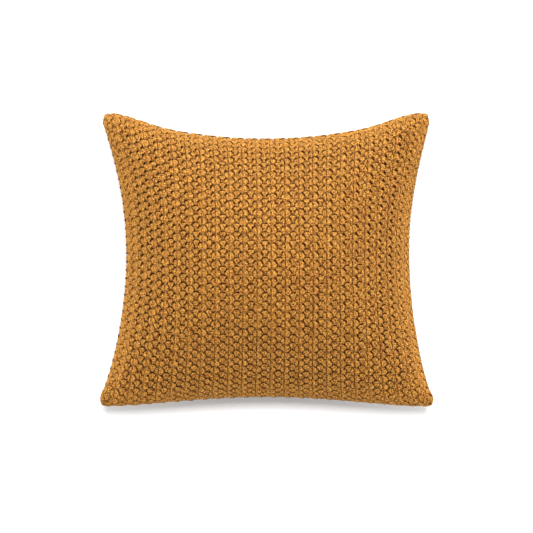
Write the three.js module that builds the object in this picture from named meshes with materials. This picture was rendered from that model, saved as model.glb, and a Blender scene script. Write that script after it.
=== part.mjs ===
// A knitted throw pillow of the 18 inch size, filled and lying on its back.
// Millimetres. +X is the pillow's right, +Y its top edge, +Z out of its face.
// The origin is on the surface that it lies on, under the middle of its outline.
import * as THREE from "three";
import { mergeVertices } from "three/addons/utils/BufferGeometryUtils.js";

// Outline, seen square to the face. The bottom corners stand a little wider than the top ones.
const HALF_HEIGHT = 197.6;
const HALF_BOTTOM_WIDTH = 225.0;
const TOP_LEFT_WIDTH = 220.8;
const TOP_RIGHT_WIDTH = 219.0;
const CORNER_RADIUS = 11.0;

// How each edge is drawn in by the filling: bottom and top from left to right, left and right from
// bottom to top. A higher power keeps that end of the edge straighter, and ear is the share of the
// edge over which the corner holds it out.
const EDGES = {
  bottom: { drawIn: 12.8, powerAtStart: 1.6, powerAtEnd: 1.8, ear: 0.02 },
  top: { drawIn: 34.5, powerAtStart: 0.85, powerAtEnd: 0.95, ear: 0.13 },
  left: { drawIn: 34.0, powerAtStart: 0.9, powerAtEnd: 1.05, ear: 0.02 },
  right: { drawIn: 29.8, powerAtStart: 0.8, powerAtEnd: 1.2, ear: 0.02 },
};

// Thickness. The seam runs round the rim in one level, but for the corners, which droop.
const SEAM_LEVEL = 66.0;
const FRONT_CROWN = 92.0;
const BACK_CROWN = 94.0;
const CROWN_FULLNESS = 2.15;
const CORNER_FILL = 0.6;
const RIM_ROLL = 18.0;
const RIM_SHARPNESS = 6;
const REST_BLEND = 10.0;
const CORNER_DROOP = [
  { corner: "top left", side: -1, end: 1, drop: 7.0 },
  { corner: "top right", side: 1, end: 1, drop: 4.5 },
  { corner: "bottom left", side: -1, end: -1, drop: 9.0 },
  { corner: "bottom right", side: 1, end: -1, drop: 6.0 },
];
const DROOP_REACH = 3;

// Shallow creases of the face where a corner's ear meets the full body of the pillow.
const CREASES = [
  { place: "top left", x: -178, y: 112, angle: 74, length: 62, width: 15, depth: 4.0 },
  { place: "top right", x: 176, y: 128, angle: -66, length: 46, width: 14, depth: 2.0 },
  { place: "bottom right", x: 186, y: -168, angle: 52, length: 34, width: 13, depth: 2.5 },
  { place: "bottom left", x: -188, y: -150, angle: -58, length: 40, width: 14, depth: 2.0 },
];

// Mesh: cells along each side of a face, closer together towards the rim.
const CELLS = 40;

const MUSTARD_WOOL = new THREE.MeshStandardMaterial({
  name: "mustard_wool",
  color: 0xc98c3f,
  roughness: 0.95,
  metalness: 0.0,
});

const mix = (a, b, share) => a + (b - a) * share;

function smoothStep(share) {
  const x = Math.min(1, Math.max(0, share));
  return x * x * (3 - 2 * x);
}

// The larger of two levels, rounded over where they are within the blend of each other.
function smoothMax(a, b, blend) {
  const near = Math.max(blend - Math.abs(a - b), 0) / blend;
  return Math.max(a, b) + (near * near * blend) / 4;
}

// How far an edge is drawn in at a share of its length. The rounded corners stand out in full.
function drawnIn(edge, share) {
  const corner = CORNER_RADIUS / (2 * HALF_HEIGHT);
  const along = THREE.MathUtils.clamp((share - corner) / (1 - 2 * corner), 0, 1);
  const bow = (4 * along * (1 - along)) ** mix(edge.powerAtStart, edge.powerAtEnd, along);
  return edge.drawIn * bow * smoothStep(along / edge.ear) * smoothStep((1 - along) / edge.ear);
}

const CORNER = {
  bottomLeft: [-HALF_BOTTOM_WIDTH, -HALF_HEIGHT],
  bottomRight: [HALF_BOTTOM_WIDTH, -HALF_HEIGHT],
  topLeft: [-TOP_LEFT_WIDTH, HALF_HEIGHT],
  topRight: [TOP_RIGHT_WIDTH, HALF_HEIGHT],
};

const between = (from, to, share) => [mix(from[0], to[0], share), mix(from[1], to[1], share)];

function bottomEdge(share) {
  const [x, y] = between(CORNER.bottomLeft, CORNER.bottomRight, share);
  return [x, y + drawnIn(EDGES.bottom, share)];
}

function topEdge(share) {
  const [x, y] = between(CORNER.topLeft, CORNER.topRight, share);
  return [x, y - drawnIn(EDGES.top, share)];
}

function leftEdge(share) {
  const [x, y] = between(CORNER.bottomLeft, CORNER.topLeft, share);
  return [x + drawnIn(EDGES.left, share), y];
}

function rightEdge(share) {
  const [x, y] = between(CORNER.bottomRight, CORNER.topRight, share);
  return [x - drawnIn(EDGES.right, share), y];
}

// Rounds the corners of the square from -1 to 1: each corner's small square becomes a quarter disc.
function roundedSquare(s, t) {
  const reach = CORNER_RADIUS / HALF_HEIGHT;
  const a = (Math.abs(s) - 1 + reach) / reach;
  const b = (Math.abs(t) - 1 + reach) / reach;
  if (a <= 0 || b <= 0) return [s, t];
  const roundS = 1 - reach + reach * a * Math.sqrt(1 - (b * b) / 2);
  const roundT = 1 - reach + reach * b * Math.sqrt(1 - (a * a) / 2);
  return [Math.sign(s) * roundS, Math.sign(t) * roundT];
}

// The place in the outline of a point of the square: a patch blended between the four edges.
function planPlace(s, t) {
  const [roundS, roundT] = roundedSquare(s, t);
  const u = (roundS + 1) / 2;
  const v = (roundT + 1) / 2;
  const across = between(leftEdge(v), rightEdge(v), u);
  const along = between(bottomEdge(u), topEdge(u), v);
  const flat = between(
    between(CORNER.bottomLeft, CORNER.bottomRight, u),
    between(CORNER.topLeft, CORNER.topRight, u),
    v,
  );
  return [across[0] + along[0] - flat[0], across[1] + along[1] - flat[1]];
}

// The crown's share of its full height, from 0 at the rim to 1 in the middle. The filling that is
// pushed into the corners makes it fuller there than the plain product of its two bows.
function crownShare(s, t) {
  const bows = (1 - Math.abs(s) ** CROWN_FULLNESS) * (1 - Math.abs(t) ** CROWN_FULLNESS);
  return bows ** (1 - CORNER_FILL * s * s * t * t);
}

// The roll of the rim, which rises steeply from the seam and is level from there on.
function rimShare(s, t) {
  return Math.sqrt((1 - Math.abs(s) ** RIM_SHARPNESS) * (1 - Math.abs(t) ** RIM_SHARPNESS));
}

function seamLevel(s, t) {
  return CORNER_DROOP.reduce((level, row) => {
    const share = Math.max(0, s * row.side) * Math.max(0, t * row.end);
    return level - row.drop * share ** DROOP_REACH;
  }, SEAM_LEVEL);
}

// How deep the creases are at a place of the outline.
function creaseDepth(x, y) {
  return CREASES.reduce((depth, row) => {
    const turn = THREE.MathUtils.degToRad(row.angle);
    const along = (x - row.x) * Math.cos(turn) + (y - row.y) * Math.sin(turn);
    const across = (y - row.y) * Math.cos(turn) - (x - row.x) * Math.sin(turn);
    return depth + row.depth * Math.exp(-((along / row.length) ** 2) - (across / row.width) ** 2);
  }, 0);
}

function pillowPoint(s, t, face) {
  const [x, y] = planPlace(s, t);
  const crown = face > 0 ? FRONT_CROWN : BACK_CROWN;
  const rim = rimShare(s, t);
  const height = (crown - RIM_ROLL) * crownShare(s, t) + RIM_ROLL * rim;
  const crease = face > 0 ? creaseDepth(x, y) * rim : 0;
  const level = seamLevel(s, t) + face * (height - crease);
  return [x, y, face > 0 ? level : smoothMax(level, 0, REST_BLEND)];
}

// Both faces as one closed mesh. They share the points of the rim.
function pillowGeometry() {
  const station = (i) => Math.sin((Math.PI / 2) * ((2 * i) / CELLS - 1));
  const across = CELLS + 1;
  const positions = [];
  const index = [];
  for (const face of [1, -1]) {
    const first = positions.length / 3;
    for (let j = 0; j <= CELLS; j++) {
      for (let i = 0; i <= CELLS; i++) {
        positions.push(...pillowPoint(station(i), station(j), face));
      }
    }
    for (let j = 0; j < CELLS; j++) {
      for (let i = 0; i < CELLS; i++) {
        const a = first + j * across + i;
        const b = a + 1;
        const c = a + across;
        const d = c + 1;
        // The split of each cell runs towards the nearer corner, so the four corners mesh alike.
        const rising = i < CELLS / 2 === j < CELLS / 2;
        const quad = rising ? [a, b, d, a, d, c] : [a, b, c, b, d, c];
        index.push(...(face > 0 ? quad : quad.reverse()));
      }
    }
  }
  const geometry = new THREE.BufferGeometry();
  geometry.setAttribute("position", new THREE.Float32BufferAttribute(positions, 3));
  geometry.setIndex(index);
  const joined = mergeVertices(geometry, 1e-3);
  joined.computeVertexNormals();
  return joined;
}

const cushion = new THREE.Mesh(pillowGeometry(), MUSTARD_WOOL);
cushion.name = "cushion";

const pillow = new THREE.Group();
pillow.add(cushion);

export default pillow;
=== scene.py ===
# %% [markdown]
# A knitted throw pillow, lying on its back
# The real thing is a square cover, knitted in a thick mustard yarn as a one-by-one rib, and filled
# until its face crowns and its sides draw in. Three things make it look right: the shape of the
# filled cover, the stitches, which are big enough to be seen one by one, and the soft, hairy yarn.
# The plan is to swell a smooth cushion with cloth pressure, and then to knit real yarn over it,
# course by course, so that every gap and shadow between the stitches is a real one.

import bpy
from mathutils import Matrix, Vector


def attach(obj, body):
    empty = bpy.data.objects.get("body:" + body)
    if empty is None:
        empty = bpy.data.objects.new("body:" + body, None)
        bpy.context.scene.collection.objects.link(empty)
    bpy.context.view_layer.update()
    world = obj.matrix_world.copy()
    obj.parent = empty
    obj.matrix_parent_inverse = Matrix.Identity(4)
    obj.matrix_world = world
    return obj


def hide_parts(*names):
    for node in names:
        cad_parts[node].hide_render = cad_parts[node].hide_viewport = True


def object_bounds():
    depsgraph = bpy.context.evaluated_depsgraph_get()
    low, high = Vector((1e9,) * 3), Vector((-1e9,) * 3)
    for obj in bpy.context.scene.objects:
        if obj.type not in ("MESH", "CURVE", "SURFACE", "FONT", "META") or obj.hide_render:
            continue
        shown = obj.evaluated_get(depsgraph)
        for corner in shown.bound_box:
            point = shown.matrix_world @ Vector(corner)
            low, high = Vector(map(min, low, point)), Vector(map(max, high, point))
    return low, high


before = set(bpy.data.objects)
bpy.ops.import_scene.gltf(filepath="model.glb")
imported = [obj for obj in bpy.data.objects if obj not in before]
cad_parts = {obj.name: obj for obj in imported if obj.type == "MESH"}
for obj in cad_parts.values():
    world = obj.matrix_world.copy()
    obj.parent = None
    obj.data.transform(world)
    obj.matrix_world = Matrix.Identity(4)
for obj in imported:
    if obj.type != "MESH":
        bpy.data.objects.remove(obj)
cad_low, cad_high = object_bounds()
print("cushion in the frame:", [round(v, 4) for v in cad_low], [round(v, 4) for v in cad_high])

# %% Tools that the lesson needs
import math

import bpy
import numpy as np
from mathutils import Vector

MM = 0.001
rng = np.random.default_rng(18)
scene = bpy.context.scene

# %% [markdown]
# The filled shape
# A point of the cover is named by two numbers, s across and t up, both from -1 to 1 on a square.
# The outline comes from four drawn-in edges with rounded corners, and the height from a crown and a
# rolled rim. A grid on this formula is better here than a sculpted or remeshed blob, because its
# lines are the lines of the knit: courses run along s and ribs along t, as they do on the cover.

# %% Sizes from the frame, in millimetres, and the top corners, which stand closer together
TOP_LEFT_NARROWER = 4.2
TOP_RIGHT_NARROWER = 6.0
half_width = (cad_high.x - cad_low.x) / 2 / MM
half_height = (cad_high.y - cad_low.y) / 2 / MM
thickness = (cad_high.z - cad_low.z) / MM
top_left_width = half_width - TOP_LEFT_NARROWER
top_right_width = half_width - TOP_RIGHT_NARROWER
print("half width, half height and thickness, mm:")
print([round(size, 1) for size in (half_width, half_height, thickness)])

# %% [markdown]
# The edges
# The filling draws each edge in, most of all in its middle. A power at each end of an edge says how
# it bows there, and a higher one keeps that end straighter. An ear is the share of the edge beside
# a corner over which the corner holds it out. There the power is higher still, by up to EAR_POWER.
# Only the top edge has long ears.

# %% The four edges, each drawn in by the filling
CORNER_RADIUS = 11.0
EAR_POWER = 0.38
EDGES = {
    "bottom": dict(draw_in=12.8, power_at_start=1.6, power_at_end=1.8, ear=0.02),
    "top": dict(draw_in=34.5, power_at_start=0.9, power_at_end=0.95, ear=0.2),
    "left": dict(draw_in=34.0, power_at_start=0.9, power_at_end=1.05, ear=0.02),
    "right": dict(draw_in=29.8, power_at_start=0.8, power_at_end=1.2, ear=0.02),
}


def smooth_step(share):
    x = np.clip(share, 0, 1)
    return x * x * (3 - 2 * x)


def drawn_in(edge, share):
    """How far an edge is drawn in, in mm, at a share of its length."""
    corner = CORNER_RADIUS / (2 * half_height)
    along = np.clip((share - corner) / (1 - 2 * corner), 0, 1)
    power = edge["power_at_start"] + (edge["power_at_end"] - edge["power_at_start"]) * along
    in_ears = 2 - smooth_step(along / edge["ear"]) - smooth_step((1 - along) / edge["ear"])
    return edge["draw_in"] * (4 * along * (1 - along)) ** (power + EAR_POWER * in_ears)


# %% [markdown]
# The outline
# A patch between the four edges says where each point of the square goes. CORNER_RADIUS is where an
# edge starts to draw in, and CORNER_TIP is how far the seam itself is rounded at a corner, because
# thick yarn can't be sewn to a sharp point.

# %% The outline as a patch between its edges, with rounded corner tips
CORNER_TIP = 4.0


def rounded_square(s, t):
    """The square with each corner's small square made a quarter disc."""
    reach = CORNER_TIP / half_height
    a = np.clip((np.abs(s) - 1 + reach) / reach, 0, 1)
    b = np.clip((np.abs(t) - 1 + reach) / reach, 0, 1)
    in_corner = (a > 0) & (b > 0)
    round_s = 1 - reach + reach * a * np.sqrt(1 - b * b / 2)
    round_t = 1 - reach + reach * b * np.sqrt(1 - a * a / 2)
    s = np.where(in_corner, np.sign(s) * round_s, s)
    t = np.where(in_corner, np.sign(t) * round_t, t)
    return s, t


def plan_place(s, t):
    """The place of a point of the cover in its outline, x and y in mm."""
    s, t = rounded_square(s, t)
    u, v = (s + 1) / 2, (t + 1) / 2
    left = -half_width + (half_width - top_left_width) * v
    right = half_width - (half_width - top_right_width) * v
    x = left + (right - left) * u
    x = x + (1 - u) * drawn_in(EDGES["left"], v) - u * drawn_in(EDGES["right"], v)
    y = -half_height + 2 * half_height * v
    y = y + (1 - v) * drawn_in(EDGES["bottom"], u) - v * drawn_in(EDGES["top"], u)
    return x, y


middle_row, _ = plan_place(np.array([-1.0, 1.0]), np.zeros(2))
print("width at half height, mm:", round(float(np.ptp(middle_row))))

# %% [markdown]
# The height
# The seam runs round the rim in one level, but its thin corners droop under their own weight. Each
# face rises from the seam, steeply in the roll of the rim and then in a crown. The crown is a bow
# across times a bow up, and fuller than that towards the corners, where filling is pushed in.
# DROOP_REACH, CROWN_FULLNESS and RIM_SHARPNESS are powers: the higher one is, the nearer the rim
# its curve bends.

# %% The seam's level in millimetres, and the shares of the crown and of the rim's roll
SEAM_LEVEL = 66.0
CORNER_DROOP = [
    dict(corner="top left", side=-1, end=1, drop=7.0),
    dict(corner="top right", side=1, end=1, drop=4.5),
    dict(corner="bottom left", side=-1, end=-1, drop=9.0),
    dict(corner="bottom right", side=1, end=-1, drop=6.0),
]
DROOP_REACH = 3
CROWN_FULLNESS = 2.15
CORNER_FILL = 0.6
RIM_SHARPNESS = 6


def seam_level(s, t):
    level = np.full(np.shape(s), SEAM_LEVEL)
    for row in CORNER_DROOP:
        share = np.clip(s * row["side"], 0, 1) * np.clip(t * row["end"], 0, 1)
        level = level - row["drop"] * share**DROOP_REACH
    return level


def crown_share(s, t):
    bows = (1 - np.abs(s) ** CROWN_FULLNESS) * (1 - np.abs(t) ** CROWN_FULLNESS)
    return np.clip(bows, 0, 1) ** (1 - CORNER_FILL * s * s * t * t)


def rim_share(s, t):
    rise = (1 - np.abs(s) ** RIM_SHARPNESS) * (1 - np.abs(t) ** RIM_SHARPNESS)
    return np.sqrt(np.clip(rise, 0, 1))


print("seam at the corners, mm:", {row["corner"]: SEAM_LEVEL - row["drop"] for row in CORNER_DROOP})

# %% [markdown]
# Creases of the face
# Where a corner meets the full body, the cover folds in a little. A sharp fold would show as a line
# in the photo, and there is none, so each crease is a long, soft hollow.

# %% Shallow creases beside the corners, in millimetres and degrees
CREASES = [
    dict(corner="top left", x=-178, y=112, angle=74, length=62, width=15, depth=4.0),
    dict(corner="top right", x=176, y=128, angle=-66, length=46, width=14, depth=2.0),
    dict(corner="bottom right", x=186, y=-168, angle=52, length=34, width=13, depth=2.5),
    dict(corner="bottom left", x=-188, y=-150, angle=-58, length=40, width=14, depth=2.0),
]


def crease_depth(x, y):
    depth = np.zeros(np.shape(x))
    for row in CREASES:
        turn = math.radians(row["angle"])
        along = (x - row["x"]) * math.cos(turn) + (y - row["y"]) * math.sin(turn)
        across = (y - row["y"]) * math.cos(turn) - (x - row["x"]) * math.sin(turn)
        away = (along / row["length"]) ** 2 + (across / row["width"]) ** 2
        depth = depth + row["depth"] * np.exp(-away)
    return depth


# %% [markdown]
# The middle of the cloth
# The knit is about 11 mm thick, from the backs of its loops to their fronts, and the frame's solid
# is its outer surface. So the middle of the cloth lies KNIT_FRONT inside the solid, and the yarn is
# laid round that middle surface. It starts a further SWELL inside, which the filling makes good.
# RIM_ROLL is the part of the height that the rolled rim takes, and REST_BLEND is how softly the
# back goes over into the flat spot that it rests on.

# %% One face of the cover, set in from the solid, in millimetres
KNIT_FRONT = 5.6
SWELL = 2.0
RIM_INSET = 0.8
RIM_ROLL = 18.0
BACK_CROWN = 94.0
REST_BLEND = 10.0
front_crown = thickness - SEAM_LEVEL
print("front crown above the seam, mm:", round(front_crown, 1))


def cover_points(s, t, face, inset):
    """Points of the cover's front (face 1) or back (face -1), in mm. The back has a flat spot."""
    x, y = plan_place(s, t)
    crown = front_crown if face > 0 else BACK_CROWN
    rim = rim_share(s, t)
    height = (crown - RIM_ROLL) * crown_share(s, t) + (RIM_ROLL - inset) * rim
    if face > 0:
        height = height - crease_depth(x, y) * rim
    x = x * (1 - RIM_INSET / half_width)
    y = y * (1 - RIM_INSET / half_height)
    z = seam_level(s, t) + face * height
    if face < 0:
        near = np.clip(REST_BLEND - np.abs(z - inset), 0, None) / REST_BLEND
        z = np.maximum(z, inset) + near * near * REST_BLEND / 4
    return np.stack([x, y, z], axis=-1)


# %% [markdown]
# An even grid
# Stitches keep their width on the cloth, not in the picture: where the cover turns down towards the
# rim they look narrower. So the grid's lines are spread until they lie evenly along the surface.

# %% A grid whose lines are spread evenly over the surface
GRID = 81
SPREADING_ROUNDS = 6


def even_grid(face, inset):
    even = np.linspace(-1, 1, GRID)
    s, t = np.meshgrid(np.sin(even * math.pi / 2), np.sin(even * math.pi / 2))
    for _ in range(SPREADING_ROUNDS):
        for axis, value in ((1, s), (0, t)):
            points = cover_points(s, t, face, inset)
            steps = np.linalg.norm(np.diff(points, axis=axis), axis=-1)
            steps = np.moveaxis(steps, axis, 0)
            lengths = np.concatenate([np.zeros((1, GRID)), np.cumsum(steps, axis=0)])
            lengths = lengths / lengths[-1] * 2 - 1
            lines = np.moveaxis(value, axis, 0)
            spread = [np.interp(even, lengths[:, k], lines[:, k]) for k in range(GRID)]
            value[...] = np.moveaxis(np.stack(spread, axis=1), 0, axis)
    return cover_points(s, t, face, inset)


front = even_grid(1, KNIT_FRONT + SWELL)
back = even_grid(-1, KNIT_FRONT + SWELL)
widest = np.linalg.norm(np.diff(front[GRID // 2], axis=0), axis=-1).sum()
tallest = np.linalg.norm(np.diff(front[:, GRID // 2], axis=0), axis=-1).sum()
print("cloth across the middle, mm:", round(widest), "and up it:", round(tallest))

# %% Join both faces into one closed mesh. They share the points of the seam
on_seam = np.zeros((GRID, GRID), bool)
on_seam[0, :] = on_seam[-1, :] = on_seam[:, 0] = on_seam[:, -1] = True
front_ids = np.arange(GRID * GRID).reshape(GRID, GRID)
back_ids = np.zeros((GRID, GRID), int)
back_ids[on_seam] = front_ids[on_seam]
back_ids[~on_seam] = GRID * GRID + np.arange((~on_seam).sum())


def quads(ids):
    corners = [ids[:-1, :-1], ids[:-1, 1:], ids[1:, 1:], ids[1:, :-1]]
    return np.stack(corners, axis=-1).reshape(-1, 4)


cover_faces = np.concatenate([quads(front_ids), quads(back_ids)[:, ::-1]])
halfway = (front + back) / 2
front[on_seam] = halfway[on_seam]
cover_verts = np.concatenate([front.reshape(-1, 3), back[~on_seam]])


def new_object(name, verts_mm, faces):
    mesh = bpy.data.meshes.new(name)
    mesh.from_pydata((np.asarray(verts_mm) * MM).tolist(), [], np.asarray(faces).tolist())
    mesh.shade_smooth()
    obj = bpy.data.objects.new(name, mesh)
    scene.collection.objects.link(obj)
    return obj


pad = new_object("filled_cover", cover_verts, cover_faces)
print("filled cover:", len(cover_verts), "points")

# %% [markdown]
# Filling it
# Blender's cloth pressure blows the cover up as its filling does: the panels swell between the
# seams and the edges pucker a little. The seam is pinned, so the outline stays. Gravity is off,
# because the flat spot where the pillow rests is already in the shape. A cap on how far each point
# may go keeps the pillow at its real size.

# %% Swell the cover with cloth pressure
PRESSURE = 4.0
PRESSURE_FRAMES = 20
SWELL_CAP = 4.0  # mm


def swell(obj):
    """Runs the cloth and gives back where its points went, in mm. No cloth is left on the object."""
    cloth = obj.modifiers.new("filling", "CLOTH").settings
    cloth.use_pressure = True
    cloth.uniform_pressure_force = PRESSURE
    cloth.effector_weights.gravity = 0
    cloth.tension_stiffness = 15
    cloth.compression_stiffness = 15
    cloth.shear_stiffness = 5
    cloth.bending_stiffness = 2
    pinned = obj.vertex_groups.new(name="seam")
    pinned.add(front_ids[on_seam].tolist(), 1.0, "REPLACE")
    cloth.vertex_group_mass = "seam"
    for number in range(1, PRESSURE_FRAMES + 1):
        scene.frame_set(number)
    blown = obj.evaluated_get(bpy.context.evaluated_depsgraph_get())
    places = np.empty(len(obj.data.vertices) * 3)
    blown.to_mesh().vertices.foreach_get("co", places)
    obj.modifiers.clear()
    obj.vertex_groups.remove(pinned)
    scene.frame_set(1)
    return places.reshape(-1, 3) / MM


moved = swell(pad) - cover_verts
far = np.linalg.norm(moved, axis=1, keepdims=True)
print("pressure moved the cover by up to", round(float(far.max()), 1), "mm")
cover_verts = cover_verts + moved * np.minimum(1, SWELL_CAP / np.maximum(far, 1e-6))
cover_verts[:, 2] = np.maximum(cover_verts[:, 2], KNIT_FRONT)

# %% Read the two faces back as grids
front = cover_verts[front_ids]
back = cover_verts[back_ids]


def sheet_normals(sheet, face):
    across = np.gradient(sheet, axis=1)
    up = np.gradient(sheet, axis=0)
    normal = np.cross(across, up) * face
    return normal / np.linalg.norm(normal, axis=-1, keepdims=True)


front_normals = sheet_normals(front, 1)
back_normals = sheet_normals(back, -1)
print("crown of the filled cover, mm:", round(float(front[..., 2].max()), 1))

# %% [markdown]
# The stitches
# A one-by-one rib has a knit stitch and a purl stitch in turn. On a knit stitch the two legs of
# the loop lie in front and its head is hidden. On a purl stitch the head lies in front, as a small
# fan. The yarn of one course goes through all of them, so one course is one long tube.
# The table holds the yarn's middle line for one pair of stitches, and its thickness there: it is
# squeezed where loops cross and swells where they lie free. It dips where the legs of one course
# meet those of the next, so that each pair of legs and each fan has a dark line round it.

# %% The path of the yarn through a knit and a purl stitch, in millimetres
RIB_WIDTH = 18.7
COURSE_HEIGHT = 11.5
STITCH_PATH = [
    # x across, y up, z out of the cloth, half width, half depth
    (-5.2, -5.0, -3.0, 1.6, 1.6),
    (-2.8, -5.3, -1.4, 1.6, 1.6),
    (-1.2, -4.7, 0.4, 1.6, 1.6),
    (-2.1, -2.9, 1.2, 2.2, 1.8),
    (-2.9, -0.9, 1.4, 2.9, 1.8),
    (-3.1, 0.9, 1.3, 2.9, 1.8),
    (-2.6, 2.6, 0.8, 2.3, 1.7),
    (-1.6, 4.1, -0.4, 1.5, 1.5),
    (0.0, 5.0, 0.1, 1.7, 1.6),
    (1.2, 4.3, 0.7, 1.8, 1.7),
    (2.5, 2.8, 1.6, 2.7, 2.0),
    (3.8, 1.1, 2.0, 3.6, 2.3),
    (4.0, -0.6, 2.0, 4.0, 2.3),
    (3.0, -2.6, 1.8, 3.2, 2.2),
    (1.6, -4.6, 0.8, 1.8, 1.8),
    (2.7, -5.5, 0.2, 1.9, 1.6),
    (4.5, -5.8, -0.3, 1.8, 1.6),
    (6.6, -5.0, -3.0, 1.6, 1.6),
    (8.3, -2.4, -3.8, 1.4, 1.5),
    (8.9, -0.4, 0.1, 1.6, 1.5),
    (9.4, 0.4, 1.5, 1.9, 1.6),
    (9.8, 1.7, 2.1, 1.4, 1.7),
    (9.8, 3.0, 2.7, 1.5, 1.9),
    (9.1, 4.6, 3.0, 2.0, 2.0),
    (8.0, 5.7, 2.9, 2.7, 2.0),
    (8.0, 6.5, 2.0, 2.4, 2.0),
    (9.2, 7.0, 1.7, 2.2, 1.9),
    (10.4, 7.2, 1.4, 1.9, 1.9),
    (11.6, 7.0, 1.7, 2.2, 1.9),
    (12.8, 6.5, 2.0, 2.4, 2.0),
    (12.8, 5.7, 2.9, 2.7, 2.0),
    (11.7, 4.6, 3.0, 2.0, 2.0),
    (11.0, 3.0, 2.7, 1.5, 1.9),
    (11.0, 1.7, 2.1, 1.4, 1.7),
    (11.4, 0.4, 1.5, 1.9, 1.6),
    (11.9, -0.4, 0.1, 1.6, 1.5),
    (12.5, -2.4, -3.8, 1.4, 1.5),
    (13.1, -4.7, -4.4, 1.6, 1.6),
]

# %% [markdown]
# A smooth path
# A smooth curve runs through the table's points and is cut into samples. They are spread evenly
# along the yarn, but the parts that dive behind the cloth get half as many, because nobody sees
# them. That saves triangles for the loops in front.

# %% Sample the path
HIDDEN_BELOW = -1.0  # mm out of the cloth
HIDDEN_WORTH = 0.5
CURVE_STEPS = 16  # between two points of the table
FRONT_SAMPLES = 34


def through_points(points, count):
    """Samples of a smooth run through the points of one repeat, and the yarn's length in it."""
    points = np.array(points, float)
    shift = np.array([RIB_WIDTH, 0, 0, 0, 0])
    ring = np.concatenate([points[-1:] - shift, points, points[:2] + shift])
    fine = []
    for a, b, c, d in zip(ring, ring[1:], ring[2:], ring[3:]):
        w = np.linspace(0, 1, CURVE_STEPS, endpoint=False)[:, None]
        bend = (2 * a - 5 * b + 4 * c - d) * w**2
        turn = (3 * b - a - 3 * c + d) * w**3
        fine.append(0.5 * (2 * b + (c - a) * w + bend + turn))
    fine = np.concatenate(fine + [ring[-2:-1]])
    step = np.linalg.norm(np.diff(fine[:, :3], axis=0), axis=1)
    worth = step * np.where(fine[1:, 2] > HIDDEN_BELOW, 1.0, HIDDEN_WORTH)
    worth = np.concatenate([[0], np.cumsum(worth)])
    at = np.linspace(0, worth[-1], count, endpoint=False)
    return np.stack([np.interp(at, worth, fine[:, k]) for k in range(5)], axis=1), step.sum()


stitch, yarn_per_pair = through_points(STITCH_PATH, FRONT_SAMPLES)
print("yarn in one pair of stitches, mm:", round(yarn_per_pair, 1))

# %% [markdown]
# Finding places on the cover
# Each sample of the path is given as so many ribs across and so many courses up, and the grid of
# the swollen face says where that is. A cubic blend of sixteen grid points keeps the yarn smooth,
# where straight lines from point to point would show as kinks.

# %% Find places on a face by rib and course
RIBS = 24
COURSES = 36


def padded_grid(grid):
    """The grid with one more line at each side, in line with the last two."""
    grid = np.concatenate([2 * grid[:1] - grid[1:2], grid, 2 * grid[-1:] - grid[-2:-1]])
    first = 2 * grid[:, :1] - grid[:, 1:2]
    last = 2 * grid[:, -1:] - grid[:, -2:-1]
    return np.concatenate([first, grid, last], axis=1)


def cubic_weights(w):
    before = -w + 2 * w**2 - w**3
    here = 2 - 5 * w**2 + 3 * w**3
    ahead = w + 4 * w**2 - 3 * w**3
    beyond = -(w**2) + w**3
    return 0.5 * np.stack([before, here, ahead, beyond])


def on_face(grid, rib, course):
    """Values of a grid at a rib from 0 to RIBS and a course from 0 to COURSES."""
    padded = padded_grid(grid)
    a = np.clip(rib / RIBS, 0, 1) * (GRID - 1)
    b = np.clip(course / COURSES, 0, 1) * (GRID - 1)
    i = np.minimum(a.astype(int), GRID - 2)
    j = np.minimum(b.astype(int), GRID - 2)
    across, up = cubic_weights(a - i), cubic_weights(b - j)
    total = 0
    for m in range(4):
        for n in range(4):
            total = total + padded[j + m, i + n] * (up[m] * across[n])[..., None]
    return total


# %% [markdown]
# Laying the courses
# Thick yarn never lies quite regularly, so smooth random values move it by a fraction of a
# millimetre and make it a little thicker or thinner from stitch to stitch. Towards the seam the
# knit is drawn tight: its yarn lies flatter and shows few gaps. A share from 0 on the open face to
# 1 at the seam carries that, for the shape here and for the colours later.

# %% How near the seam a place is, and smooth random values along the courses
RIM_REACH = 46.0


def near_seam(rib, course):
    """The distance from the seam in mm, and a share from 0 on the open face to 1 at the seam."""
    from_sides = np.minimum(rib, RIBS - rib) * RIB_WIDTH
    from_ends = np.minimum(course, COURSES - course) * COURSE_HEIGHT
    away = np.minimum(from_sides, from_ends)
    return away, 1 - smooth_step(away / RIM_REACH)


def wander(samples, per_rib, size):
    """Smooth random values along each course, with a new one at every stitch."""
    knots = rng.normal(0, size, (COURSES, RIBS * 2 + 2))
    at = np.arange(samples) / per_rib * 2
    k = np.minimum(at.astype(int), RIBS * 2)
    w = smooth_step(at - k)
    return knots[:, k] * (1 - w) + knots[:, k + 1] * w


# %% Lay all courses of one face at once
ROW_MIDDLE = 0.3  # of a course, up to where the path's y is 0
SLACK = 0.17  # mm
UNEVEN_YARN = 0.03  # of the yarn's width
RIM_THIN = 0.42  # of the knit's depth, which is left at the seam
RIM_WIDENS = 0.06  # of the yarn's width, which is gained at the seam
SHADE_LIFT_FADES = 1.5  # a power: above 1 it keeps the lift of the painted shade close to the seam


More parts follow.
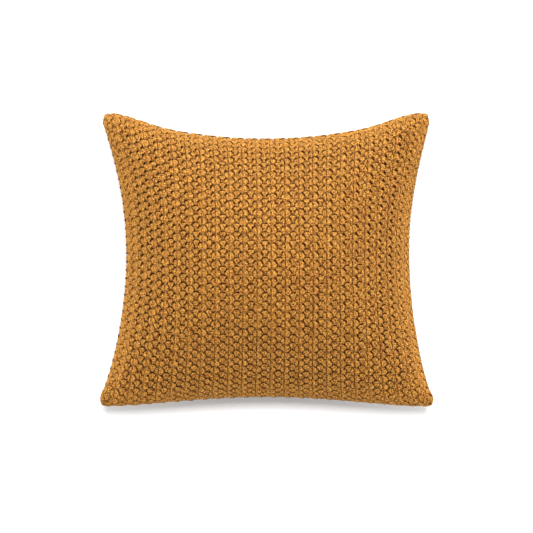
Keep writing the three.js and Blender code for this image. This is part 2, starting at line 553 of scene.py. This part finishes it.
def lay_yarn(sheet, normals, path, mirrored):
    """The middle line of all courses of a face, with its outward directions and sizes."""
    per_rib = len(path)
    samples = RIBS * per_rib + 1
    k = np.arange(samples)
    x, y, z, half_width_here, half_depth_here = path[k % per_rib].T
    x = x + RIB_WIDTH * (k // per_rib) + RIB_WIDTH / 4
    course = np.arange(COURSES)[:, None] + ROW_MIDDLE
    rib = x / RIB_WIDTH + wander(samples, per_rib, SLACK) / RIB_WIDTH
    up = course + (y + wander(samples, per_rib, SLACK)) / COURSE_HEIGHT
    out = z + wander(samples, per_rib, SLACK)
    thicker = 1 + wander(samples, per_rib, UNEVEN_YARN)
    from_seam, at_rim = near_seam(rib, up)
    thin = 1 - (1 - RIM_THIN) * at_rim
    if mirrored:
        rib = RIBS - rib
    points = on_face(sheet, rib, up)
    outward = on_face(normals, rib, up)
    outward = outward / np.linalg.norm(outward, axis=-1, keepdims=True)
    tucked = out * thin - np.maximum(0, -from_seam)
    return dict(
        points=points + outward * tucked[..., None],
        outward=outward,
        height=out,
        radius=half_width_here * thicker * (1 + RIM_WIDENS * at_rim),
        flat=half_depth_here / half_width_here,
        thin=thin,
        at_rim=at_rim**SHADE_LIFT_FADES,
    )


# %% [markdown]
# The yarn's body
# A pressed yarn isn't round: it is wide and shallow, with fuller shoulders than an ellipse has. A
# bevelled curve keeps one profile all along, and this one changes from place to place, so rings of
# points are set along the middle line instead. The direction of each ring's first point is carried
# over from the last ring, which keeps the tube from twisting.

# %% Tubes round the yarn's middle lines
SQUARENESS = 0.62  # a power: 1 gives an ellipse, and less fills its shoulders


def unit(v):
    return v / np.maximum(np.linalg.norm(v, axis=-1, keepdims=True), 1e-9)


def tubes(laid, sides):
    """Rings of points round each course, their height over the cloth, and the yarn's length."""
    points, outward = laid["points"], laid["outward"]
    radius = laid["radius"][:, :, None, None]
    along = unit(np.gradient(points, axis=1))
    side = np.empty_like(points)
    side[:, 0] = unit(np.cross(along[:, 0], outward[:, 0]))
    for k in range(1, points.shape[1]):
        last = side[:, k - 1]
        side[:, k] = unit(last - along[:, k] * (last * along[:, k]).sum(-1, keepdims=True))
    up = np.cross(side, along)
    angle = np.arange(sides) / sides * 2 * math.pi
    ring = side[:, :, None] * np.cos(angle)[:, None] + up[:, :, None] * np.sin(angle)[:, None]
    outward = outward[:, :, None]
    rise = (ring * outward).sum(-1, keepdims=True)
    boxy = np.sign(rise) * np.abs(rise) ** SQUARENESS * laid["flat"][:, None, None]
    ring = (ring - rise * outward) + boxy * laid["thin"][:, :, None, None] * outward
    steps = np.linalg.norm(np.diff(points, axis=1), axis=-1)
    return dict(
        rings=points[:, :, None] + ring * radius,
        outward=np.broadcast_to(outward, ring.shape),
        height=laid["height"][:, :, None] + (boxy * radius)[..., 0],
        at_rim=np.broadcast_to(laid["at_rim"][:, :, None], ring.shape[:-1]),
        length=np.concatenate([np.zeros((len(points), 1)), np.cumsum(steps, axis=1)], axis=1),
    )


# %% [markdown]
# Building the pieces
# A piece is a band of neighbouring courses. It gets two UV maps. In the first, OFBake, each course
# has a strip of its own, with a margin, so that nothing overlaps. The second, yarn, holds the real
# length along the yarn in metres and the turn round it, which a twisted yarn's pattern needs. Three
# more values go with every point, for the colours: how high it lies over the cloth's middle, which
# way the cloth faces there, and how near the seam it is.

# %% Write a course's place along and round the yarn into the UV maps
STRIP_END = 0.001  # of a strip's length, left free at each end
STRIP_MARGIN = 0.03  # of a strip's width, left free at each side


def write_uv_maps(mesh, length, before, sides):
    count, samples = length.shape
    turn = np.arange(sides) / sides
    strip = np.arange(count)[:, None, None] / count
    yarn_uv = np.empty((count, samples - 1, sides, 4, 2))
    bake_uv = np.empty_like(yarn_uv)
    for c, (ahead, round_step) in enumerate([(0, 0), (1, 0), (1, 1), (0, 1)]):
        reached = length[:, ahead : samples - 1 + ahead, None]
        turned = turn + round_step / sides
        yarn_uv[..., c, 0] = (reached + before[:, None, None]) * MM
        yarn_uv[..., c, 1] = turned
        bake_uv[..., c, 0] = STRIP_END + reached / length[:, -1:, None] * (1 - 2 * STRIP_END)
        bake_uv[..., c, 1] = strip + (STRIP_MARGIN + turned * (1 - 2 * STRIP_MARGIN)) / count
    for layer, values in (("OFBake", bake_uv), ("yarn", yarn_uv)):
        uv_map = mesh.uv_layers.new(name=layer)
        uv_map.data.foreach_set("uv", values.reshape(-1).astype(np.float32))


# %% Build a piece of knitting from some courses
ABOVE_FLOOR = 0.2


def knit_piece(name, knitting, courses):
    rings, length = knitting["rings"][courses], knitting["length"][courses]
    before = np.cumsum(knitting["length"][:, -1])[courses]
    count, samples, sides = rings.shape[:3]
    ids = np.arange(count * samples * sides).reshape(count, samples, sides)
    around = np.roll(ids, -1, axis=2)
    faces = np.stack([ids[:, :-1], ids[:, 1:], around[:, 1:], around[:, :-1]], axis=-1)
    points = rings.reshape(-1, 3).copy()
    points[:, 2] = np.maximum(points[:, 2], ABOVE_FLOOR)
    obj = new_object(name, points, faces.reshape(-1, 4))
    write_uv_maps(obj.data, length, before, sides)
    for layer, values in (("above_cloth_mm", knitting["height"]), ("at_rim", knitting["at_rim"])):
        attribute = obj.data.attributes.new(layer, "FLOAT", "POINT")
        attribute.data.foreach_set("value", values[courses].reshape(-1).astype(np.float32))
    facing = obj.data.attributes.new("cloth_facing", "FLOAT_VECTOR", "POINT")
    vectors = knitting["outward"][courses]
    facing.data.foreach_set("vector", vectors.reshape(-1).astype(np.float32))
    return obj


# %% Knit the front
FRONT_SIDES = 10
front_yarn = tubes(lay_yarn(front, front_normals, stitch, False), FRONT_SIDES)
thirds = np.array_split(np.arange(COURSES), 3)
front_knit = [knit_piece(f"front_knit_{n + 1}", front_yarn, part) for n, part in enumerate(thirds)]
print("front courses:", [len(part) for part in thirds])

# %% Knit the back, which nobody looks at closely, with fewer faces
BACK_SAMPLES = 30
BACK_SIDES = 6
back_stitch, _ = through_points(STITCH_PATH, BACK_SAMPLES)
back_yarn = tubes(lay_yarn(back, back_normals, back_stitch, True), BACK_SIDES)
halves = np.array_split(np.arange(COURSES), 2)
back_knit = [knit_piece(f"back_knit_{n + 1}", back_yarn, part) for n, part in enumerate(halves)]
print("triangles of knitting:", sum(2 * len(o.data.polygons) for o in front_knit + back_knit))

# %% [markdown]
# The body behind the loops
# Between the stitches the eye meets more yarn in the dark. The swollen cover stands for it. It is
# set back behind the loops on the open face, and comes forward towards the seam, where the knit is
# too tight to look into.

# %% Set the filled cover back to what lies behind the loops
BEHIND_LOOPS = 2.7  # mm, on the open face
FORWARD_AT_SEAM = 0.85  # of that, which is taken back at the seam
FORWARD_SPREADS = 0.5  # a power: under 1 it reaches further in from the seam

cover_normals = np.concatenate([front_normals.reshape(-1, 3), back_normals[~on_seam]])
cover_normals[front_ids[on_seam]] = unit(front_normals[on_seam] + back_normals[on_seam])
grid_line = np.arange(GRID) / (GRID - 1)
_, grid_rim = near_seam(grid_line[None, :] * RIBS, grid_line[:, None] * COURSES)
cover_rim = np.concatenate([grid_rim.reshape(-1), grid_rim[~on_seam]]) ** FORWARD_SPREADS
behind = BEHIND_LOOPS * (1 - FORWARD_AT_SEAM * cover_rim)
inside = cover_verts - cover_normals * behind[:, None]
pad.data.vertices.foreach_set("co", (inside * MM).reshape(-1))
pad.data.update()
rim_values = pad.data.attributes.new("at_rim", "FLOAT", "POINT").data
rim_values.foreach_set("value", cover_rim.astype(np.float32))
print("set back by, mm:", round(float(behind.min()), 1), "to", round(float(behind.max()), 1))

# %% [markdown]
# The yarn
# It is a soft multi-ply knitting yarn, spun of wool and acrylic. Up close it is a rope of a few
# plies with loose fibres, so it is matt, its colour runs in slanting streaks, and its edges look
# pale and hazy where light catches the fibres. A picture of yarn would have to repeat on so much of
# it, so the shader makes the pattern from the yarn's own measured length and turn. The haze is
# sheen.

# %% Colours from sRGB hex
def linear(hex_colour):
    parts = [int(hex_colour[k : k + 2], 16) / 255 for k in (1, 3, 5)]
    return [c / 12.92 if c <= 0.04045 else ((c + 0.055) / 1.055) ** 2.4 for c in parts] + [1.0]


# %% One helper that adds a node with its settings and links
def add_node(material, kind, inputs=None, **settings):
    tree = material.node_tree
    node = tree.nodes.new(kind)
    for name, value in settings.items():
        setattr(node, name, value)
    for name, value in (inputs or {}).items():
        if isinstance(value, bpy.types.NodeSocket):
            tree.links.new(value, node.inputs[name])
        else:
            node.inputs[name].default_value = value
    return node


def new_material(name):
    material = bpy.data.materials.new(name)
    material.use_nodes = True
    material.node_tree.nodes.clear()
    return material


# %% [markdown]
# Plies
# Five plies make one turn in 45 mm. A wave that runs round and along the yarn at once slants as
# they do. Their fibres take the dye unevenly, in streaks about 5 mm long, of which some 16 fit round
# the yarn. The streaks' noise is read on a circle, so it meets itself behind the yarn.

# %% Plies and dye streaks of the spun yarn, with lengths in millimetres
TWIST_LENGTH = 45.0
PLIES = 5
STREAK_LENGTH = 5.0
STREAKS_ON_RADIUS = 2.6  # on the radius of that circle, which makes 16 round it
STREAKS_DARK = 0.40
STREAKS_PALE = 0.60
WAVE_PERIOD = math.pi / 10  # a wave texture of scale 1 repeats after this length

spun = new_material("spun_mustard_yarn")
yarn_place = add_node(spun, "ShaderNodeUVMap", uv_map="yarn")
split = add_node(spun, "ShaderNodeSeparateXYZ", {"Vector": yarn_place.outputs["UV"]})
twisted = add_node(
    spun,
    "ShaderNodeMath",
    {0: split.outputs["X"], 1: 1 / (TWIST_LENGTH * MM), 2: split.outputs["Y"]},
    operation="MULTIPLY_ADD",
)
slant = add_node(
    spun, "ShaderNodeCombineXYZ", {"X": twisted.outputs[0], "Y": split.outputs["X"]}
)
plies = add_node(
    spun,
    "ShaderNodeTexWave",
    {"Vector": slant.outputs[0], "Scale": WAVE_PERIOD * PLIES},
    bands_direction="X",
)
angle = add_node(
    spun, "ShaderNodeMath", {0: twisted.outputs[0], 1: 2 * math.pi}, operation="MULTIPLY"
)
cosine = add_node(spun, "ShaderNodeMath", {0: angle.outputs[0]}, operation="COSINE")
sine = add_node(spun, "ShaderNodeMath", {0: angle.outputs[0]}, operation="SINE")
stretched = add_node(
    spun,
    "ShaderNodeMath",
    {0: split.outputs["X"], 1: 1 / (STREAK_LENGTH * MM) / STREAKS_ON_RADIUS},
    operation="MULTIPLY",
)
round_yarn = add_node(
    spun,
    "ShaderNodeCombineXYZ",
    {"X": cosine.outputs[0], "Y": sine.outputs[0], "Z": stretched.outputs[0]},
)
dye = add_node(
    spun,
    "ShaderNodeTexNoise",
    {
        "Vector": round_yarn.outputs[0],
        "Scale": STREAKS_ON_RADIUS,
        "Detail": 2.0,
        "Roughness": 0.6,
    },
)
streaks = add_node(
    spun,
    "ShaderNodeMapRange",
    {0: dye.outputs["Fac"], 1: STREAKS_DARK, 2: STREAKS_PALE, 3: 0.0, 4: 1.0},
)

# %% [markdown]
# Fibres
# Loose fibres stand off the yarn in tufts. Their grain is drawn in colour: pale where a tuft would
# catch light, a painted highlight, and a deep brown between them, which is painted shade.
# Real tufts are about 0.3 mm wide, which is too fine for this picture, where one pixel is 1.35 mm.
# They are drawn 1 mm wide, so that they show as the grain that the eye knows from woolly yarn. They
# hide almost all of the dye streaks, which stay as a faint change of tone.

# %% Tufts of fibre, with their painted highlight and shade, and the yarn's colour
TUFT_WIDTH = 1.0
TUFTS_DARK = 0.44
TUFTS_PALE = 0.54
TUFTS_HIDE = 0.95

own_place = add_node(spun, "ShaderNodeTexCoord")
fibres = add_node(
    spun,
    "ShaderNodeTexNoise",
    {"Vector": own_place.outputs["Object"], "Scale": 1 / (TUFT_WIDTH * MM), "Detail": 0.0},
)
tufts = add_node(
    spun,
    "ShaderNodeMapRange",
    {0: fibres.outputs["Fac"], 1: TUFTS_DARK, 2: TUFTS_PALE, 3: 0.0, 4: 1.0},
)
ply_colour = add_node(
    spun,
    "ShaderNodeMix",
    {0: streaks.outputs[0], 6: linear("#6A3006"), 7: linear("#B87826")},
    data_type="RGBA",
)
# Painted highlight on the tufts and painted shade between them
tuft_highlight_and_shade = add_node(
    spun,
    "ShaderNodeMix",
    {0: tufts.outputs[0], 6: linear("#5A1402"), 7: linear("#C88E3E")},
    data_type="RGBA",
)
yarn_colour = add_node(
    spun,
    "ShaderNodeMix",
    {0: TUFTS_HIDE, 6: ply_colour.outputs[2], 7: tuft_highlight_and_shade.outputs[2]},
    data_type="RGBA",
)

# %% [markdown]
# Relief
# Fuzz scatters light, so a woolly yarn is shaded more softly than its round body would be. Its
# normal is leaned towards the way that the cloth faces, and the tufts and plies are bumped on that.
# They stand out by 1.2 mm, several times as much as real ones, as they are drawn coarser.

# %% A soft normal with the relief of tufts and plies, its height in millimetres
FUZZ_FLATTENS = 0.7  # of the way from the yarn's own normal to the cloth's
PLY_RELIEF = 0.5  # against the tufts' relief of 1
RELIEF_HEIGHT = 1.2

ply_relief = add_node(
    spun, "ShaderNodeMath", {0: plies.outputs["Fac"], 1: PLY_RELIEF}, operation="MULTIPLY"
)
relief = add_node(
    spun, "ShaderNodeMath", {0: tufts.outputs[0], 1: ply_relief.outputs[0]}, operation="ADD"
)
facing = add_node(spun, "ShaderNodeAttribute", attribute_name="cloth_facing")
cloth_normal = add_node(
    spun,
    "ShaderNodeVectorTransform",
    {"Vector": facing.outputs["Vector"]},
    vector_type="NORMAL",
    convert_from="OBJECT",
    convert_to="WORLD",
)
own_normal = add_node(spun, "ShaderNodeNewGeometry")
leaned = add_node(
    spun,
    "ShaderNodeMix",
    {0: FUZZ_FLATTENS, 4: own_normal.outputs["Normal"], 5: cloth_normal.outputs[0]},
    data_type="VECTOR",
)
soft_normal = add_node(
    spun, "ShaderNodeVectorMath", {0: leaned.outputs[1]}, operation="NORMALIZE"
)
bump = add_node(
    spun,
    "ShaderNodeBump",
    {
        "Height": relief.outputs[0],
        "Strength": 1.0,
        "Distance": RELIEF_HEIGHT * MM,
        "Normal": soft_normal.outputs[0],
    },
)

# %% [markdown]
# Painted shade in the creases
# Light that goes in between hairy yarns is lost, more than smooth tubes would lose. So shade is
# painted into the yarn's colour: a deep brown where the yarn lies low on the cloth, and where its
# side turns away from the cloth's face. Both are the yarn's own measures, so the painted shade
# stays in place from every side. Near the seam the stitches are pressed flat and loose fibres
# bridge them, so the painted shade is lifted there.

# %% How open to the light each place of the yarn is, from its height in mm and its slope
SHADE_LIFT_AT_SEAM = 0.75
DARK_BELOW = 0.4
OPEN_ABOVE = 2.6
SIDE_DARK = 0.15
SIDE_OPEN = 0.8

above_cloth = add_node(spun, "ShaderNodeAttribute", attribute_name="above_cloth_mm")
open_to_light = add_node(
    spun,
    "ShaderNodeMapRange",
    {0: above_cloth.outputs["Fac"], 1: DARK_BELOW, 2: OPEN_ABOVE, 3: 0.0, 4: 1.0},
    interpolation_type="SMOOTHSTEP",
)
outward_share = add_node(
    spun,
    "ShaderNodeVectorMath",
    {0: own_normal.outputs["Normal"], 1: cloth_normal.outputs[0]},
    operation="DOT_PRODUCT",
)
out_of_crease = add_node(
    spun,
    "ShaderNodeMapRange",
    {0: outward_share.outputs["Value"], 1: SIDE_DARK, 2: SIDE_OPEN, 3: 0.0, 4: 1.0},
    interpolation_type="SMOOTHSTEP",
)
openness = add_node(
    spun,
    "ShaderNodeMath",
    {0: open_to_light.outputs[0], 1: out_of_crease.outputs[0]},
    operation="MULTIPLY",
)
yarn_rim = add_node(spun, "ShaderNodeAttribute", attribute_name="at_rim")
lit_share = add_node(
    spun,
    "ShaderNodeMath",
    {0: yarn_rim.outputs["Fac"], 1: SHADE_LIFT_AT_SEAM, 2: openness.outputs[0]},
    operation="MULTIPLY_ADD",
    use_clamp=True,
)

# %% [markdown]
# The surface
# Wool and acrylic fibres have an IOR of about 1.5, which is the shader's own, and aren't metallic.
# So many of them cross at the surface that it shows no gloss: it is very rough, with hardly any
# specular. Fibres that stand up catch light at a slant, which is the warm sheen on every loop.

# %% The yarn's surface: matt fibre with a warm sheen
# Painted shade: the yarn's colour is mixed towards a deep brown where little light gets in
shaded_colour = add_node(
    spun,
    "ShaderNodeMix",
    {0: lit_share.outputs[0], 6: linear("#2E0800"), 7: yarn_colour.outputs[2]},
    data_type="RGBA",
)
yarn_surface = add_node(
    spun,
    "ShaderNodeBsdfPrincipled",
    {
        "Base Color": shaded_colour.outputs[2],
        "Roughness": 0.9,
        "Specular IOR Level": 0.1,
        "Sheen Weight": 0.6,
        "Sheen Roughness": 0.5,
        "Sheen Tint": linear("#FFBE64"),
        "Normal": bump.outputs[0],
    },
)
add_node(spun, "ShaderNodeOutputMaterial", {"Surface": yarn_surface.outputs[0]})
print("nodes in the spun yarn:", len(spun.node_tree.nodes))

# %% [markdown]
# What shows between the stitches
# It is the same yarn, with its fibres brushed up and crossed at random, a step further in. On the
# open face its colour is painted a deep brown, painted shade for the dark that it lies in. At the
# seam it comes to the front, and there it has the yarn's own colour. It is matt throughout. Its
# clumps of fibre are drawn 2 mm wide, several times as coarse as real ones, so that they show.

# %% Brushed yarn, with painted shade on the open face
CLUMP_WIDTH = 2.0

brushed = new_material("brushed_yarn_with_painted_shade")
clumps = add_node(
    brushed, "ShaderNodeTexNoise", {"Scale": 1 / (CLUMP_WIDTH * MM), "Detail": 3.0}
)
# Painted shade: a deep brown for the yarn that lies in the dark between the stitches
painted_shade_colour = add_node(
    brushed,
    "ShaderNodeMix",
    {0: clumps.outputs["Fac"], 6: linear("#3A1402"), 7: linear("#582607")},
    data_type="RGBA",
)
seam_colour = add_node(
    brushed,
    "ShaderNodeMix",
    {0: clumps.outputs["Fac"], 6: linear("#7C4410"), 7: linear("#C08238")},
    data_type="RGBA",
)
brushed_rim = add_node(brushed, "ShaderNodeAttribute", attribute_name="at_rim")
brushed_colour = add_node(
    brushed,
    "ShaderNodeMix",
    {0: brushed_rim.outputs["Fac"], 6: painted_shade_colour.outputs[2], 7: seam_colour.outputs[2]},
    data_type="RGBA",
)
brushed_surface = add_node(
    brushed,
    "ShaderNodeBsdfPrincipled",
    {"Base Color": brushed_colour.outputs[2], "Roughness": 0.95, "Specular IOR Level": 0.1},
)
add_node(brushed, "ShaderNodeOutputMaterial", {"Surface": brushed_surface.outputs[0]})

# %% [markdown]
# Dressing the pillow
# All knitting is of one yarn. Every piece moves with the pillow's one body and stands in the place
# of the frame's smooth cushion.

# %% Dress the pieces and tie them to the frame
for piece in front_knit + back_knit:
    piece.data.materials.append(spun)
pad.data.materials.append(brushed)
for piece in front_knit + back_knit + [pad]:
    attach(piece, "root")
    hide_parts("cushion")

# %% [markdown]
# The studio
# The photo is a plain shop picture: a white floor that is almost burnt out, and a pillow that is
# lit evenly, with its top edge brightest and a tight, soft shadow under its bottom edge. A small
# lamp high above, a little towards the top edge, makes that shadow. A low one behind the top edge
# brightens it, one on each side lights the flanks, and a white room fills the rest. The floor is
# board painted matt white: it scatters the light, so it shows the shadow and no gleam.

# %% A pale floor, six metres wide
FLOOR_SIZE = 6.0
bpy.ops.mesh.primitive_plane_add(size=FLOOR_SIZE, location=(0, 0, 0))
floor = bpy.context.object
floor.name = "pale_floor"
paint = new_material("matt_white_floor")
paint_surface = add_node(
    paint,
    "ShaderNodeBsdfPrincipled",
    {"Base Color": linear("#E4E4E4"), "Roughness": 0.9, "Specular IOR Level": 0.1},
)
add_node(paint, "ShaderNodeOutputMaterial", {"Surface": paint_surface.outputs[0]})
floor.data.materials.append(paint)

# %% Lights in metres and watts, each aimed at the pillow's middle
AIM = Vector((0, 0, 0.08))
LIGHTS = [
    dict(name="main", place=(0.05, 0.62, 2.4), size=0.7, power=74),
    dict(name="back", place=(0.1, 2.2, 0.42), size=1.0, power=50),
    dict(name="left", place=(-1.9, 0.0, 0.6), size=1.0, power=14),
    dict(name="right", place=(1.9, -0.1, 0.6), size=1.0, power=20),
]
for row in LIGHTS:
    lamp = bpy.data.lights.new(row["name"], "AREA")
    lamp.size = row["size"]
    lamp.energy = row["power"]
    lamp_object = bpy.data.objects.new(row["name"], lamp)
    lamp_object.location = row["place"]
    towards = AIM - Vector(row["place"])
    lamp_object.rotation_euler = towards.to_track_quat("-Z", "Y").to_euler()
    scene.collection.objects.link(lamp_object)
print("lamps:", [row["name"] for row in LIGHTS])

# %% The white room
ROOM_STRENGTH = 0.66
world = bpy.data.worlds.new("white_room")
world.use_nodes = True
room = world.node_tree.nodes["Background"].inputs
room["Color"].default_value = (1, 1, 1, 1)
room["Strength"].default_value = ROOM_STRENGTH
scene.world = world
scene.view_settings.view_transform = "Standard"

# %% [markdown]
# The camera
# The pillow lies on its back and the photo looks square at its face, so the camera looks straight
# down. The picture is 533 pixels wide and one pixel is 1.35 mm at the seam. The longish lens keeps
# the camera far off, so that the crown doesn't swell towards it.

# %% Camera, with its lens and sensor in millimetres
PICTURE_PX = 533
MM_PER_PX = 1.35
LENS = 85.0
SENSOR = 36.0
PILLOW_ABOVE_MIDDLE_PX = 6.8

picture_width = PICTURE_PX * MM_PER_PX * MM
above_seam = picture_width * LENS / SENSOR
below_middle = -PILLOW_ABOVE_MIDDLE_PX * MM_PER_PX * MM
camera_data = bpy.data.cameras.new("camera")
camera_data.lens = LENS
camera_data.sensor_width = SENSOR
camera = bpy.data.objects.new("camera", camera_data)
camera.location = (0, below_middle, SEAM_LEVEL * MM + above_seam)
scene.collection.objects.link(camera)
scene.camera = camera
print("camera height, m:", round(camera.location.z, 3))
